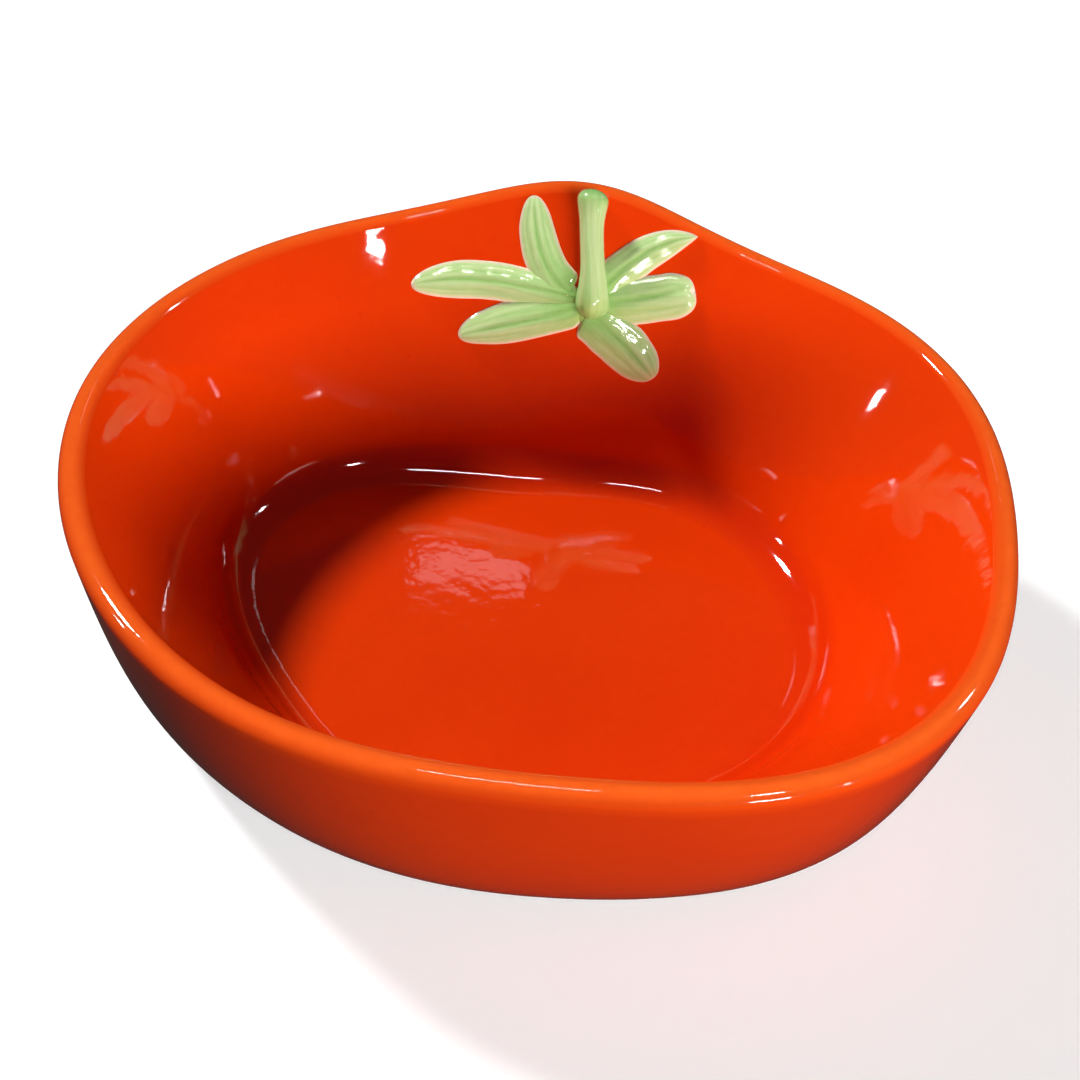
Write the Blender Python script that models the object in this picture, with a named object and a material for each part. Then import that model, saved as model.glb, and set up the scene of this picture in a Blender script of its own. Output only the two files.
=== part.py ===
"""Tomato dish: an open glazed bowl with a calyx and a stem in relief on its back wall.

The dish stands on z = 0 with +Z up, and the stem side is +Y. Sizes are in metres.
A bearing in plan is in degrees, anticlockwise from +Y, seen from above.
A place on the back wall is given as across (along +X) and up (up the slope),
both measured from the middle of the calyx, and lift (off the wall, into the bowl).
"""

import sys
from collections import namedtuple
from math import asin, atan2, copysign, cos, degrees, exp, pi, radians, sin

import bmesh
import bpy
from mathutils import Vector

# Clearance between clay pieces that meet.
GAP = 0.0003

# Rim: the widest outline of the dish, an oval before its waves are added.
RIM_WIDTH = 0.163
RIM_DEPTH = 0.151
RIM_HEIGHT = 0.047
RIM_THICKNESS = 0.0047
# Where the inner wall runs into the round of the rim, in degrees from its outside.
ROLL_START = 145
# Waves that press an outline out of round: how many, how high, bearing of a crest.
RIM_WAVES = ((3, 0.0006, -29), (4, 0.0016, 44), (5, 0.0008, 14))

# Lip: the soft rise of the rim behind the stem.
LIP_RISE = 0.009
LIP_SPREAD = 19.5

# Floor inside the bowl, and the curve where it turns up into the wall.
FLOOR_WIDTH = 0.108
FLOOR_DEPTH = 0.091
FLOOR_TOP = 0.007
FLOOR_FILLET = 0.006
FLOOR_WAVES = ((1, 0.0013, 97), (3, 0.0026, -56), (4, 0.0014, -26))
# How much steeper the inner wall is at its foot than at the rim.
WALL_FLARE = 0.35

# Base: the outline where the belly of the outer wall turns under.
BASE_WIDTH = 0.1361
BASE_DEPTH = 0.1095
BASE_WAVES = ((1, 0.0035, 109), (2, 0.0034, 45), (3, 0.0010, -18), (4, 0.0018, -16))
# The belly swells out fast above the base: 1 is a straight wall, less is rounder.
BELLY = 0.55
HEEL_RADIUS = 0.0012

# Foot: the bare clay ring under the base.
FOOT_HEIGHT = 0.0025
FOOT_THICKNESS = 0.005
FOOT_INSET = 0.006
FOOT_CHAMFER = 0.0006

# Calyx: where its middle stands on the back wall, and its hub.
CALYX_ACROSS = 0.002
CALYX_HEIGHT = 0.0385
HUB_RADIUS = 0.0033
HUB_LIFT = 0.0030

# Sepals: leaf blades laid on the wall. root_turn is the direction in which a blade
# leaves the hub, in degrees from +X towards up, and widest is the share of its length
# where it is widest. blunt is 0.5 for a round tip and 1 for a pointed one.
Sepal = namedtuple("Sepal", "name root_turn tip_across tip_up half_width widest blunt")
SEPALS = (
    Sepal("sepal_right", 8, 0.0203, 0.0039, 0.0044, 0.66, 0.40),
    Sepal("sepal_upper_right", 49, 0.0186, 0.0136, 0.0035, 0.50, 0.90),
    Sepal("sepal_upper_left", 150, -0.0122, 0.0170, 0.0038, 0.58, 0.45),
    Sepal("sepal_left", 172, -0.0334, -0.0002, 0.0033, 0.62, 0.60),
    Sepal("sepal_lower_left", 207, -0.0233, -0.0088, 0.0036, 0.55, 0.70),
    Sepal("sepal_lower_right", 302, 0.0152, -0.0124, 0.0042, 0.62, 0.45),
)
SEPAL_EDGE = 0.0007
SEPAL_CROWN = 0.0009
SEPAL_ROOT_SHARE = 0.75
SEPAL_TIP_HALF_WIDTH = 0.0005
SEPAL_LEAST_HALF_WIDTH = 0.0002
SEPAL_BEND_SHARE = 0.56

# Stem: a rod laid up the wall from the hub to the rim, with a knob at its cut end.
STEM_RADIUS = 0.0024
STEM_KNOB_RADIUS = 0.0028
STEM_LENGTH = 0.0155
STEM_LEAN = -0.0013
STEM_KNOB_SHARE = 0.8

# Fineness of the solids.
STEPS_ROUND = 64
STEPS_WALL = 7
STEPS_BELLY = 8
STEPS_FILLET = 4
STEPS_ROLL = 6
STEPS_SEPAL_LENGTH = 12
STEPS_SEPAL_WIDTH = 6
STEPS_STEM = 14
MERGE_DISTANCE = 0.00001

RED_GLAZE = (0.80, 0.055, 0.004)
GREEN_GLAZE = (0.42, 0.62, 0.20)
BARE_CLAY = (0.70, 0.62, 0.52)


def mix(low, high, share):
    return low + (high - low) * share


def outline(width, depth, waves, bearing):
    """Distance from the middle to an oval outline with its waves, at a bearing."""
    turn = radians(bearing)
    radius = (width + depth) / 4 - (width - depth) / 4 * cos(2 * turn)
    for count, height, crest in waves:
        radius += height * cos(count * (turn - radians(crest)))
    return radius


def rim_outline(bearing):
    return outline(RIM_WIDTH, RIM_DEPTH, RIM_WAVES, bearing)


def floor_outline(bearing):
    return outline(FLOOR_WIDTH, FLOOR_DEPTH, FLOOR_WAVES, bearing)


def base_outline(bearing):
    return outline(BASE_WIDTH, BASE_DEPTH, BASE_WAVES, bearing)


def roll_radius():
    return RIM_THICKNESS / (1 - cos(radians(ROLL_START)))


def roll_height(bearing):
    """Height of the middle of the rim's round edge, which rises at the lip."""
    lip = LIP_RISE * exp(-((bearing / LIP_SPREAD) ** 2))
    return RIM_HEIGHT - roll_radius() + lip


def wall_top(bearing):
    """Height where the inner wall runs into the round of the rim."""
    return roll_height(bearing) + roll_radius() * sin(radians(ROLL_START))


def floor_at(share, bearing):
    return (floor_outline(bearing) - FLOOR_FILLET) * share, FLOOR_TOP


def wall_at(climb, bearing):
    """Inner wall: climb is 0 where it would meet the floor and 1 at the rim."""
    flared = climb + WALL_FLARE * (climb * climb - climb)
    radius = mix(floor_outline(bearing), rim_outline(bearing) - RIM_THICKNESS, flared)
    return radius, mix(FLOOR_TOP, wall_top(bearing), climb)


def fillet_climb():
    return FLOOR_FILLET / (RIM_HEIGHT - FLOOR_TOP)


def fillet_at(share, bearing):
    """The curve from the floor into the wall, drawn towards their corner."""
    start = floor_at(1, bearing)
    corner = wall_at(0, bearing)
    end = wall_at(fillet_climb(), bearing)
    radius = mix(mix(start[0], corner[0], share), mix(corner[0], end[0], share), share)
    height = mix(mix(start[1], corner[1], share), mix(corner[1], end[1], share), share)
    return radius, height


def roll_at(turn, bearing):
    """The round edge of the rim, turn in degrees from its outside."""
    size = roll_radius()
    radius = rim_outline(bearing) - size + size * cos(radians(turn))
    return radius, roll_height(bearing) + size * sin(radians(turn))


def underside():
    return FOOT_HEIGHT + GAP


def belly_at(climb, bearing):
    """Outer wall: climb is 0 at the heel and 1 at the rim."""
    radius = mix(base_outline(bearing), rim_outline(bearing), climb ** BELLY)
    return radius, mix(underside() + HEEL_RADIUS, roll_height(bearing), climb)


def heel_at(turn, bearing):
    """The small round where the belly turns under the base, turn in degrees."""
    radius = base_outline(bearing) - HEEL_RADIUS + HEEL_RADIUS * cos(radians(turn))
    return radius, underside() + HEEL_RADIUS - HEEL_RADIUS * sin(radians(turn))


def under_at(share, bearing):
    return (base_outline(bearing) - HEEL_RADIUS) * share, underside()


def steps(count, first=0.0, last=1.0):
    return [mix(first, last, index / count) for index in range(count + 1)]


def bowl_section():
    """Stations of the bowl's section, from the middle of the floor over the rim to
    the middle of the underside."""
    section = [(floor_at, share) for share in (0, 0.35, 0.7)]
    section += [(fillet_at, share) for share in steps(STEPS_FILLET)]
    section += [(wall_at, climb) for climb in steps(STEPS_WALL, fillet_climb(), 1)[1:]]
    section += [(roll_at, turn) for turn in steps(STEPS_ROLL, ROLL_START, 0)[1:]]
    section += [(belly_at, climb**2) for climb in steps(STEPS_BELLY, 1, 0)[1:]]
    section += [(heel_at, turn) for turn in steps(2, 0, 90)[1:]]
    section += [(under_at, share) for share in (0.7, 0.35, 0)]
    return section


def foot_at(corner, bearing):
    inset, height = corner
    return base_outline(bearing) - inset, height


def foot_section():
    """Corners of the foot ring's section, a block with chamfered lower edges."""
    outer = FOOT_INSET
    inner = FOOT_INSET + FOOT_THICKNESS
    corners = (
        (outer, FOOT_HEIGHT),
        (outer, FOOT_CHAMFER),
        (outer + FOOT_CHAMFER, 0),
        (inner - FOOT_CHAMFER, 0),
        (inner, FOOT_CHAMFER),
        (inner, FOOT_HEIGHT),
    )
    return [(foot_at, corner) for corner in corners]


def in_plan(radius, height, bearing):
    turn = radians(bearing)
    return Vector((-radius * sin(turn), radius * cos(turn), height))


def turn_section(section, closed):
    """Spin a section about Z, then settle every vertex on its own outline."""
    bm = bmesh.new()
    station = bm.verts.layers.int.new("station")
    chain = []
    for index, (shape, value) in enumerate(section):
        vertex = bm.verts.new(in_plan(*shape(value, 0), 0))
        vertex[station] = index
        chain.append(vertex)
    for first, second in zip(chain, chain[1:]):
        bm.edges.new((first, second))
    if closed:
        bm.edges.new((chain[-1], chain[0]))
    bmesh.ops.spin(bm, geom=bm.verts[:] + bm.edges[:], cent=(0, 0, 0), axis=(0, 0, 1),
                   angle=2 * pi, steps=STEPS_ROUND, use_merge=True)
    bmesh.ops.remove_doubles(bm, verts=bm.verts[:], dist=MERGE_DISTANCE)
    for vertex in bm.verts:
        shape, value = section[vertex[station]]
        bearing = degrees(atan2(-vertex.co.x, vertex.co.y))
        vertex.co = in_plan(*shape(value, bearing), bearing)
    bmesh.ops.recalc_face_normals(bm, faces=bm.faces[:])
    return bm


def wall_lean():
    """Angle of the back wall from upright, from the floor to the rim."""
    foot = wall_at(0, 0)
    top = wall_at(1, 0)
    return atan2(top[0] - foot[0], top[1] - foot[1])


def wall_point(across, up):
    """Point of the inner back wall at a distance across and up from the calyx."""
    x = CALYX_ACROSS + across
    height = CALYX_HEIGHT + up * cos(wall_lean())
    bearing = 0.0
    for _ in range(12):
        climb = (height - FLOOR_TOP) / (wall_top(bearing) - FLOOR_TOP)
        radius = wall_at(climb, bearing)[0]
        bearing = -degrees(asin(x / radius))
    return in_plan(radius, height, bearing)


def off_wall(across, up, lift):
    """Point at a distance off the inner back wall, square to it."""
    step = 0.0005
    point = wall_point(across, up)
    along = wall_point(across + step, up) - wall_point(across - step, up)
    rise = wall_point(across, up + step) - wall_point(across, up - step)
    return point + along.cross(rise).normalized() * lift


def heading(turn):
    """Direction on the wall, in degrees from +X towards up."""
    return Vector((cos(radians(turn)), sin(radians(turn))))


def blade_line(sepal, share):
    """Point on the middle line of a blade, and the direction across the blade."""
    tip = Vector((sepal.tip_across, sepal.tip_up))
    root = heading(sepal.root_turn) * (HUB_RADIUS + GAP)
    bend = heading(sepal.root_turn) * tip.length * SEPAL_BEND_SHARE
    first = root.lerp(bend, share)
    second = bend.lerp(tip, share)
    along = (second - first).normalized()
    return first.lerp(second, share), Vector((-along.y, along.x))


def blade_half_width(sepal, share):
    """Half the width of a blade at a share of its length."""
    if share < sepal.widest:
        swell = sin(pi / 2 * share / sepal.widest)
        return sepal.half_width * mix(SEPAL_ROOT_SHARE, 1, swell)
    past = (share - sepal.widest) / (1 - sepal.widest)
    return max(sepal.half_width * (1 - past**2) ** sepal.blunt, SEPAL_TIP_HALF_WIDTH)


def seams(sepal):
    """Directions halfway to the next sepal on either side, where the blades meet."""
    turns = [(other.root_turn - sepal.root_turn) % 360 for other in SEPALS if other is not sepal]
    return sepal.root_turn + min(turns) / 2, sepal.root_turn - (360 - max(turns)) / 2


def room_to_seam(place, way, seam):
    """How far a point can go one way before it comes to a seam."""
    across_seam = heading(seam + 90)
    side = place.dot(across_seam)
    closing = -copysign(1, side) * way.dot(across_seam)
    if closing <= 0:
        return sys.float_info.max
    return (abs(side) - GAP / 2) / closing


def room_to_stem(place, way):
    """How far a point can go one way before it comes to the stem."""
    share = (place.y - HUB_RADIUS) / STEM_LENGTH
    side = place.x - STEM_LEAN * share
    closing = -copysign(1, side) * way.x
    if closing <= 0 or place.y < 0:
        return sys.float_info.max
    return (abs(side) - stem_radius(share) - GAP) / closing


def blade_place(sepal, share, side):
    """Across and up of a point of a blade, share along it and side (-1 to 1) over it."""
    place, aside = blade_line(sepal, share)
    way = aside * copysign(1, side)
    room = [room_to_seam(place, way, seam) for seam in seams(sepal)]
    spread = min(blade_half_width(sepal, share), room_to_stem(place, way), *room)
    return place + way * (max(spread, SEPAL_LEAST_HALF_WIDTH) * abs(side))


def make_sepal(sepal):
    """A blade laid on the wall, thicker along its middle than at its edges."""
    bm = bmesh.new()
    bmesh.ops.create_grid(bm, x_segments=STEPS_SEPAL_LENGTH, y_segments=STEPS_SEPAL_WIDTH, size=1)
    raised = bmesh.ops.extrude_face_region(bm, geom=bm.faces[:])["geom"]
    upper = {item for item in raised if isinstance(item, bmesh.types.BMVert)}
    for vertex in bm.verts:
        share = sin(pi / 4 * (vertex.co.x + 1))
        side = vertex.co.y
        lift = GAP
        if vertex in upper:
            lift += SEPAL_EDGE + SEPAL_CROWN * (1 - side * side) * sin(pi * mix(0.15, 1, share))
        across, up = blade_place(sepal, share, side)
        vertex.co = off_wall(across, up, lift)
    bmesh.ops.recalc_face_normals(bm, faces=bm.faces[:])
    return bm


def make_hub():
    """The domed boss in the middle of the calyx, flat where it meets the wall."""
    bm = bmesh.new()
    bmesh.ops.create_uvsphere(bm, u_segments=24, v_segments=12, radius=1)
    lower = [vertex for vertex in bm.verts if vertex.co.z < -MERGE_DISTANCE]
    bmesh.ops.delete(bm, geom=lower, context="VERTS")
    edge = [item for item in bm.edges if item.is_boundary]
    bmesh.ops.contextual_create(bm, geom=edge)
    origin = off_wall(0, 0, GAP)
    outward = (off_wall(0, 0, 1) - off_wall(0, 0, 0)).normalized()
    facing = outward.to_track_quat("Z", "Y")
    for vertex in bm.verts:
        size = Vector((HUB_RADIUS, HUB_RADIUS, HUB_LIFT))
        vertex.co = origin + facing @ (vertex.co * size)
    bmesh.ops.recalc_face_normals(bm, faces=bm.faces[:])
    return bm


def stem_radius(share):
    """Radius of the stem: a plain rod that swells into the knob at its end."""
    if share < STEM_KNOB_SHARE:
        return STEM_RADIUS
    past = (share - STEM_KNOB_SHARE) / (1 - STEM_KNOB_SHARE)
    return mix(STEM_RADIUS, STEM_KNOB_RADIUS, sin(pi * past * 0.6))


def make_stem(collection, material):
    """The stem as a curve laid up the wall, clear of it by the gap."""
    root = HUB_RADIUS + GAP
    curve = bpy.data.curves.new("stem", "CURVE")
    curve.dimensions = "3D"
    curve.bevel_depth = STEM_RADIUS
    curve.bevel_resolution = 3
    curve.use_fill_caps = True
    spline = curve.splines.new("POLY")
    spline.points.add(STEPS_STEM)
    for point, share in zip(spline.points, steps(STEPS_STEM)):
        radius = stem_radius(share)
        up = mix(root, root + STEM_LENGTH, share)
        place = off_wall(STEM_LEAN * share, up, radius + GAP)
        point.co = (*place, 1)
        point.radius = radius / STEM_RADIUS
    curve.materials.append(material)
    stem = bpy.data.objects.new("stem", curve)
    collection.objects.link(stem)
    return stem


def add_middle(collection):
    """An empty that carries every piece, so that the rim's outline is centred on Z."""
    rim = [in_plan(rim_outline(bearing), 0, bearing) for bearing in range(-180, 180)]
    middle = bpy.data.objects.new("dish_middle", None)
    middle.location.x = -(min(point.x for point in rim) + max(point.x for point in rim)) / 2
    middle.location.y = -(min(point.y for point in rim) + max(point.y for point in rim)) / 2
    collection.objects.link(middle)
    return middle


def add_piece(collection, name, bm, material):
    mesh = bpy.data.meshes.new(name)
    bm.to_mesh(mesh)
    bm.free()
    mesh.shade_smooth()
    mesh.set_sharp_from_angle(angle=radians(40))
    piece = bpy.data.objects.new(name, mesh)
    piece.data.materials.append(material)
    collection.objects.link(piece)
    return piece


def glaze(name, colour, roughness):
    material = bpy.data.materials.new(name)
    material.use_nodes = True
    shader = material.node_tree.nodes["Principled BSDF"]
    shader.inputs["Base Color"].default_value = (*colour, 1)
    shader.inputs["Roughness"].default_value = roughness
    shader.inputs["Metallic"].default_value = 0.0
    material.diffuse_color = (*colour, 1)
    return material


def clear_scene():
    for item in list(bpy.data.objects):
        bpy.data.objects.remove(item, do_unlink=True)


def main():
    clear_scene()
    collection = bpy.data.collections.new("tomato_dish")
    bpy.context.scene.collection.children.link(collection)
    red = glaze("red_glaze", RED_GLAZE, 0.12)
    green = glaze("green_glaze", GREEN_GLAZE, 0.18)
    clay = glaze("bare_clay", BARE_CLAY, 0.85)
    pieces = [
        add_piece(collection, "bowl_body", turn_section(bowl_section(), closed=False), red),
        add_piece(collection, "foot_ring", turn_section(foot_section(), closed=True), clay),
        add_piece(collection, "calyx_hub", make_hub(), green),
        make_stem(collection, green),
    ]
    for sepal in SEPALS:
        pieces.append(add_piece(collection, sepal.name, make_sepal(sepal), green))
    middle = add_middle(collection)
    for piece in pieces:
        piece.parent = middle


if __name__ == "__main__":
    main()
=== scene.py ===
"""Looks of the tomato dish: glazed bowl, bare foot, and a calyx and stem in relief.

The dish stands on z = 0 with +Z up, and the stem side is +Y. Sizes are in metres.
A bearing in plan is in degrees, anticlockwise from +Y, seen from above.
A place on the back wall is given as across (along +X) and up (up the slope),
both measured from the middle of the calyx, and lift (off the wall, into the bowl).
"""

from collections import namedtuple
from math import asin, atan2, copysign, cos, degrees, exp, pi, radians, sin, sqrt

import bmesh
import bpy
from bpy.props import FloatProperty, FloatVectorProperty, IntProperty, PointerProperty
from mathutils import Matrix, Vector, noise


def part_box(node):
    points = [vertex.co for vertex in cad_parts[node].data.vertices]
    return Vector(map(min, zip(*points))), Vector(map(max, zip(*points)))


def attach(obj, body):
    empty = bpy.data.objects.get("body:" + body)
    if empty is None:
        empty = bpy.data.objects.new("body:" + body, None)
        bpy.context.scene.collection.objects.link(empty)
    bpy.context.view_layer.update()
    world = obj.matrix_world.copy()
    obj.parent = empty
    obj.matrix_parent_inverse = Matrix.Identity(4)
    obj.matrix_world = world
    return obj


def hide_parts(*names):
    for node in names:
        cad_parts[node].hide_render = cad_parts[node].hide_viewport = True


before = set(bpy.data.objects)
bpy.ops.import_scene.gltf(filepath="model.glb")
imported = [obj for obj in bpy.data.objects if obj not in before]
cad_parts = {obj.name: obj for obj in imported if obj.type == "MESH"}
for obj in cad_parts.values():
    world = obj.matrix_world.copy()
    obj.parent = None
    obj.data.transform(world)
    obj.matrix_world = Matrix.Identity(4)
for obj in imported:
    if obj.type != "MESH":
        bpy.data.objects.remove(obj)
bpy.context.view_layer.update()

bl_info = {
    "name": "Tomato Dish",
    "version": (1, 0, 0),
    "blender": (4, 5, 0),
    "location": "View3D > Sidebar > Tomato Dish",
    "description": "Builds the glazed pieces of a tomato dish around its frame",
    "category": "Add Mesh",
}

# Put before a material's name, so that it isn't the name of one of the frame's own.
PREFIX = "dish_"

# Steps along each part of the bowl's section.
FLOOR_STEPS = 16
FILLET_STEPS = 14
WALL_STEPS = 44
ROLL_STEPS = 18
BELLY_STEPS = 36
HEEL_STEPS = 6
UNDER_STEPS = 10

# Waves that press an outline out of round: how many, how high, bearing of a crest.
RIM_WAVES = ((3, 0.0006, -29), (4, 0.0016, 44), (5, 0.0008, 14))
FLOOR_WAVES = ((1, 0.0013, 97), (3, 0.0026, -56), (4, 0.0014, -26))
BASE_WAVES = ((1, 0.0035, 109), (2, 0.0034, 45), (3, 0.0010, -18), (4, 0.0018, -16))

# A blade: its middle line runs from root towards bend and ends at tip. left and right
# are its half widths as seen from the root. widest is the share of its length where it
# is widest, and blunt is 0.5 for a round tip and 1 for a pointed one. notch is how far
# a cleft runs into the tip, and cleft is where it is across the blade.
Blade = namedtuple("Blade", "node root bend tip left right root_share widest blunt notch cleft")
BLADES = (
    Blade("sepal_left", (-1.5, 0.3), (-18.0, 2.4), (-33.5, -0.5),
          3.5, 3.4, 0.92, 0.62, 0.52, 0.0, 0.0),
    Blade("sepal_lower_left", (-0.6, -1.2), (-12.5, -5.8), (-23.5, -9.3),
          3.4, 4.3, 1.02, 0.50, 0.52, 0.0, 0.0),
    Blade("sepal_lower_right", (0.4, -1.8), (8.2, -6.8), (14.6, -13.4),
          4.3, 4.9, 1.05, 0.50, 0.42, 0.0, 0.0),
    Blade("sepal_right", (1.5, -0.2), (13.5, 1.3), (20.4, 3.4),
          4.5, 4.4, 0.90, 0.62, 0.34, 0.06, 0.30),
    Blade("sepal_upper_right", (1.4, 1.2), (8.4, 11.6), (19.4, 13.4),
          3.2, 3.8, 1.15, 0.42, 0.85, 0.0, 0.0),
    Blade("sepal_upper_left", (-3.6, 0.8), (-10.8, 5.6), (-12.3, 17.1),
          3.7, 3.7, 1.15, 0.56, 0.46, 0.0, 0.0),
)
MILLIMETRE = 0.001

# Side veins of a blade, as shares of its half width, and how wide a groove is.
VEINS = (-0.45, 0.52)
VEIN_WIDTH = 0.13
FURROW_WIDTH = 0.14
CLEFT_WIDTH = 0.28

# Shares of a blade's length: its rounded root, and where its tip starts to thin out.
ROOT_ROUND = 0.12
TIP_START = 0.86

# How far a blade's lower face is sunk into the wall.
SINK = 0.0004

# Reach of the pale line in from a blade's edge, of the edge's influence back from the
# tip, and of the deep green out from the middle of the calyx.
EDGE_REACH = 0.00055
TIP_REACH = 0.020
ROOT_REACH = 0.0085

# Where the hub's middle is, across and up, and the share of its depth in the wall.
HUB_PLACE = (0.0011, -0.0002)
HUB_BACK = 0.2

# The stem's lower end, how far its knob passes its length, and how far its middle line
# is across the wall at either end.
STEM_START = -0.0032
STEM_OVER = 0.0004
STEM_ACROSS = (0.0011, -0.0013)

# Round on the lower edges of the foot.
FOOT_ROUND = 0.0007
FOOT_ROUND_STEPS = 5

# The floor of the stage, its wall far away, and how far it is under the foot.
FLOOR_RADIUS = 60.0
FLOOR_WALL = 20.0
FLOOR_DROP = 0.0001

# From the middle of the bowl at floor level to what the camera and the lights point at.
CAMERA_AIM = (0.0004, 0.0298, 0.0018)
LIGHT_AIM = (0, 0, 0.02)
SENSOR_WIDTH = 36

# Azimuth and elevation of the two main lights, in degrees, and the size of the fill.
KEY_PLACE = (154, 44)
FILL_PLACE = (-47, 11)
FILL_SIZE = (1.3, 0.28)
LIGHT_DISTANCE = 1.5

# Small lights that only draw highlights on the glaze: name, width, length, azimuth and
# elevation in degrees, and a share of the brightness.
SPARKS = (
    ("spark_front", 0.15, 0.08, -46, 45, 1.0),
    ("spark_low", 0.24, 0.07, -53, 7, 1.0),
    ("spark_right", 0.10, 0.10, 26, 36, 1.0),
    ("spark_left", 0.06, 0.10, 178, 26, 1.0),
    ("spark_top", 0.34, 0.03, -93, 78, 0.8),
    ("spark_back", 0.10, 0.035, 94, 42, 0.02),
    ("spark_stem", 0.07, 0.08, -34, 9, 0.8),
)


# ---------------------------------------------------------------- sizes and colours


class DishSizes(bpy.types.PropertyGroup):
    """Sizes of the bowl, its foot and its relief"""

    rim_width: FloatProperty(
        name="Rim width", description="Width of the rim's oval before its waves",
        default=0.163, min=0.05, unit="LENGTH")
    rim_depth: FloatProperty(
        name="Rim depth", description="Depth of the rim's oval before its waves",
        default=0.151, min=0.05, unit="LENGTH")
    rim_height: FloatProperty(
        name="Rim height", description="Height of the rim away from the lip",
        default=0.047, min=0.01, unit="LENGTH")
    rim_thickness: FloatProperty(
        name="Rim thickness", description="Thickness of the wall under the rim's round",
        default=0.0047, min=0.001, unit="LENGTH")
    roll_start: FloatProperty(
        name="Roll start", description="Where the inner wall meets the rim's round",
        default=radians(145), unit="ROTATION")
    lip_rise: FloatProperty(
        name="Lip rise", description="How far the rim rises behind the stem",
        default=0.009, unit="LENGTH")
    lip_spread: FloatProperty(
        name="Lip spread", description="How wide the lip is, as a bearing",
        default=radians(19.5), unit="ROTATION")
    floor_width: FloatProperty(
        name="Floor width", description="Width of the floor inside",
        default=0.108, unit="LENGTH")
    floor_depth: FloatProperty(
        name="Floor depth", description="Depth of the floor inside",
        default=0.091, unit="LENGTH")
    floor_top: FloatProperty(
        name="Floor height", description="Height of the floor inside",
        default=0.007, unit="LENGTH")
    floor_fillet: FloatProperty(
        name="Floor fillet", description="Curve from the floor into the wall",
        default=0.006, unit="LENGTH")
    wall_flare: FloatProperty(
        name="Wall flare", description="How much steeper the wall is at its foot",
        default=0.35, min=0, max=1, subtype="FACTOR")
    base_width: FloatProperty(
        name="Base width", description="Width where the belly turns under",
        default=0.1361, unit="LENGTH")
    base_depth: FloatProperty(
        name="Base depth", description="Depth where the belly turns under",
        default=0.1095, unit="LENGTH")
    belly: FloatProperty(
        name="Belly", description="1 is a straight outer wall, less is rounder",
        default=0.55, min=0.2, max=1, subtype="FACTOR")
    heel_radius: FloatProperty(
        name="Heel", description="Round where the belly turns under",
        default=0.0012, unit="LENGTH")
    foot_height: FloatProperty(
        name="Foot height", description="Height of the bare ring underneath",
        default=round(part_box("foot_ring")[1].z, 4), unit="LENGTH")
    foot_thickness: FloatProperty(
        name="Foot thickness", description="Width of the ring's underside",
        default=0.005, unit="LENGTH")
    foot_inset: FloatProperty(
        name="Foot inset", description="How far the ring is in from the base",
        default=0.006, unit="LENGTH")
    joint_gap: FloatProperty(
        name="Joint", description="Clearance between clay pieces that meet",
        default=0.0003, unit="LENGTH")
    calyx_across: FloatProperty(
        name="Calyx across", description="Where the calyx is, to the right of the middle",
        default=0.002, unit="LENGTH")
    calyx_height: FloatProperty(
        name="Calyx height", description="Height of the middle of the calyx",
        default=0.0385, unit="LENGTH")
    glaze_wave: FloatProperty(
        name="Glaze wave", description="How far the fired glaze wanders from true",
        default=0.00010, unit="LENGTH")
    blade_thickness: FloatProperty(
        name="Sepal thickness", description="How far a sepal stands off the wall",
        default=0.0013, unit="LENGTH")
    hub_radius: FloatProperty(
        name="Hub radius", description="Radius of the boss of the calyx",
        default=0.0042, unit="LENGTH")
    hub_lift: FloatProperty(
        name="Hub lift", description="How far the boss stands off the wall",
        default=0.0016, unit="LENGTH")
    stem_radius: FloatProperty(
        name="Stem radius", description="Radius of the stem at its middle",
        default=0.00225, unit="LENGTH")
    stem_length: FloatProperty(
        name="Stem length", description="Length of the stem up the wall",
        default=0.0194, unit="LENGTH")
    steps_round: IntProperty(
        name="Steps round", description="Steps of a full turn of the bowl",
        default=288, min=64)


class DishColours(bpy.types.PropertyGroup):
    """Colours of the glazes, the clay and the floor"""

    red: FloatVectorProperty(
        name="Red glaze", description="Glaze where it is of even thickness",
        default=(0.80, 0.046, 0.001), size=3, min=0, max=1, subtype="COLOR")
    red_thin: FloatVectorProperty(
        name="Thin red glaze", description="Glaze that breaks over an edge",
        default=(0.93, 0.125, 0.013), size=3, min=0, max=1, subtype="COLOR")
    red_deep: FloatVectorProperty(
        name="Deep red glaze", description="Glaze that pooled in a hollow",
        default=(0.62, 0.018, 0.001), size=3, min=0, max=1, subtype="COLOR")
    green: FloatVectorProperty(
        name="Green glaze", description="Pale green of the sepals",
        default=(0.55, 0.77, 0.33), size=3, min=0, max=1, subtype="COLOR")
    green_deep: FloatVectorProperty(
        name="Deep green glaze", description="Green that gathered in the furrows",
        default=(0.20, 0.50, 0.085), size=3, min=0, max=1, subtype="COLOR")
    green_pale: FloatVectorProperty(
        name="Thin green glaze", description="Green so thin that the clay shows through",
        default=(0.71, 0.83, 0.51), size=3, min=0, max=1, subtype="COLOR")
    slip: FloatVectorProperty(
        name="Edge line", description="Clay that shows where the two glazes meet",
        default=(0.90, 0.74, 0.56), size=3, min=0, max=1, subtype="COLOR")
    clay: FloatVectorProperty(
        name="Bare clay", description="Fired clay without glaze",
        default=(0.70, 0.62, 0.52), size=3, min=0, max=1, subtype="COLOR")
    clay_dark: FloatVectorProperty(
        name="Worn clay", description="Clay where the foot rubbed",
        default=(0.42, 0.36, 0.30), size=3, min=0, max=1, subtype="COLOR")
    floor: FloatVectorProperty(
        name="Floor", description="Plain floor under the dish",
        default=(0.55, 0.55, 0.55), size=3, min=0, max=1, subtype="COLOR")


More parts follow.
